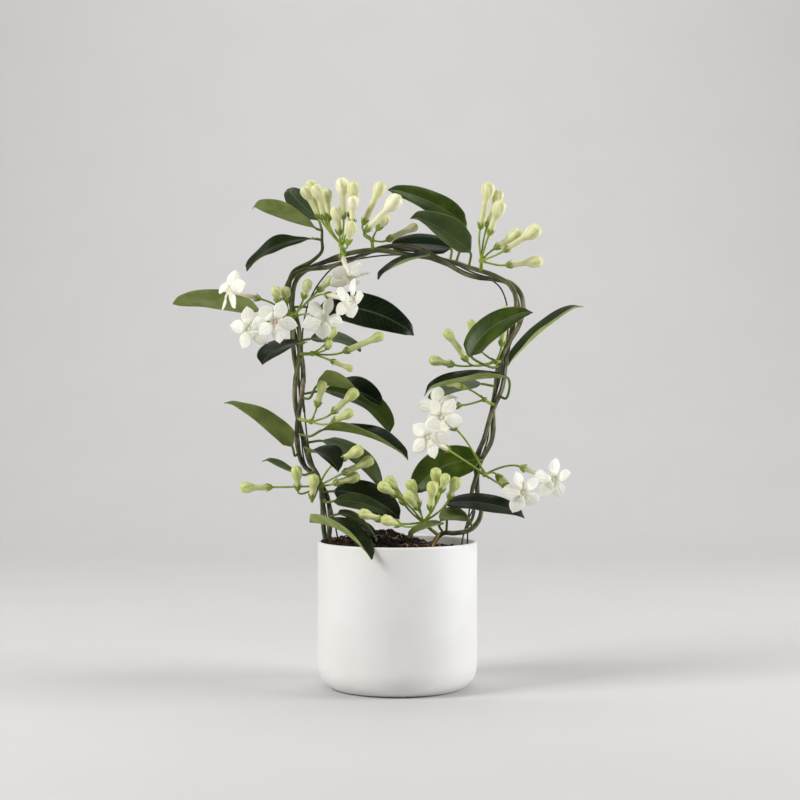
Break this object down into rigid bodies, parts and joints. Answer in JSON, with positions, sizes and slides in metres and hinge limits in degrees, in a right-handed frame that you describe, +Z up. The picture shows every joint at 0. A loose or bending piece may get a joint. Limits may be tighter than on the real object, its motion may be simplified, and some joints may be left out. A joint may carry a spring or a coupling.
{
  "type": "potted madagascar jasmine",
  "caption": "Madagascar jasmine with leathery leaves and waxy white blooms, twined round a wire hoop in a white glazed pot.",
  "frame": {"origin": "centre of the pot's flat base, on the surface it stands on", "axes": "+Z up out of the pot, +X along the hoop to the right as seen from the front, -Y towards the front"},
  "size_m": [0.3633, 0.1498, 0.4478],
  "materials": {
    "pot": "smooth white satin glaze",
    "soil": "dark crumbly potting soil with bark bits",
    "hoop": "thin plastic-coated wire, satin",
    "stem": "ribbed green-brown bark, matt",
    "leaf": "dark glossy upper side, pale matt underside",
    "bud": "waxy pale yellow-green buds on green stalks",
    "petal": "waxy white petals, soft satin"
  },
  "bodies": {
    "root": {"pot": "pot", "soil": "soil", "hoop_front": "hoop", "hoop_back": "hoop", "stem_left": "stem", "stem_right": "stem", "stem_shoot": "stem", "leaf_crown_pale": "leaf", "leaf_crown_small": "leaf", "leaf_crown_dark": "leaf", "leaf_far_left": "leaf", "leaf_under_blooms": "leaf", "leaf_upper_dark": "leaf", "leaf_narrow": "leaf", "leaf_middle_high": "leaf", "leaf_middle_olive": "leaf", "leaf_middle_folded": "leaf", "leaf_middle_arched": "leaf", "leaf_middle_low": "leaf", "leaf_left": "leaf", "leaf_left_narrow": "leaf", "leaf_rim": "leaf", "leaf_rim_dark": "leaf", "leaf_rim_grey": "leaf", "leaf_low_black": "leaf", "leaf_low_glossy": "leaf", "leaf_right_broad": "leaf", "leaf_right_low": "leaf", "leaf_small_front": "leaf", "leaf_small_right": "leaf", "leaf_right_up": "leaf", "leaf_far_right": "leaf", "leaf_right_level": "leaf", "leaf_behind_blooms": "leaf", "leaf_top_high": "leaf", "leaf_top_folded": "leaf", "leaf_top_back": "leaf", "leaf_top_hanging": "leaf", "umbel_left_high": "bud", "umbel_left_under": "bud", "umbel_middle_left": "bud", "umbel_low_left": "bud", "umbel_low_middle": "bud", "umbel_right_low": "bud", "umbel_right_high": "bud", "umbel_right_middle": "bud", "umbel_crown": "bud", "umbel_top": "bud", "umbel_top_right": "bud", "bloom_far_left": "petal", "bloom_left": "petal", "bloom_left_near": "petal", "bloom_left_low": "petal", "bloom_left_right": "petal", "bloom_far_right": "petal", "bloom_right": "petal", "bloom_middle_low": "petal", "bloom_middle_high": "petal", "bloom_middle_back": "petal", "bloom_hanging": "petal"}
  },
  "joints": []
}
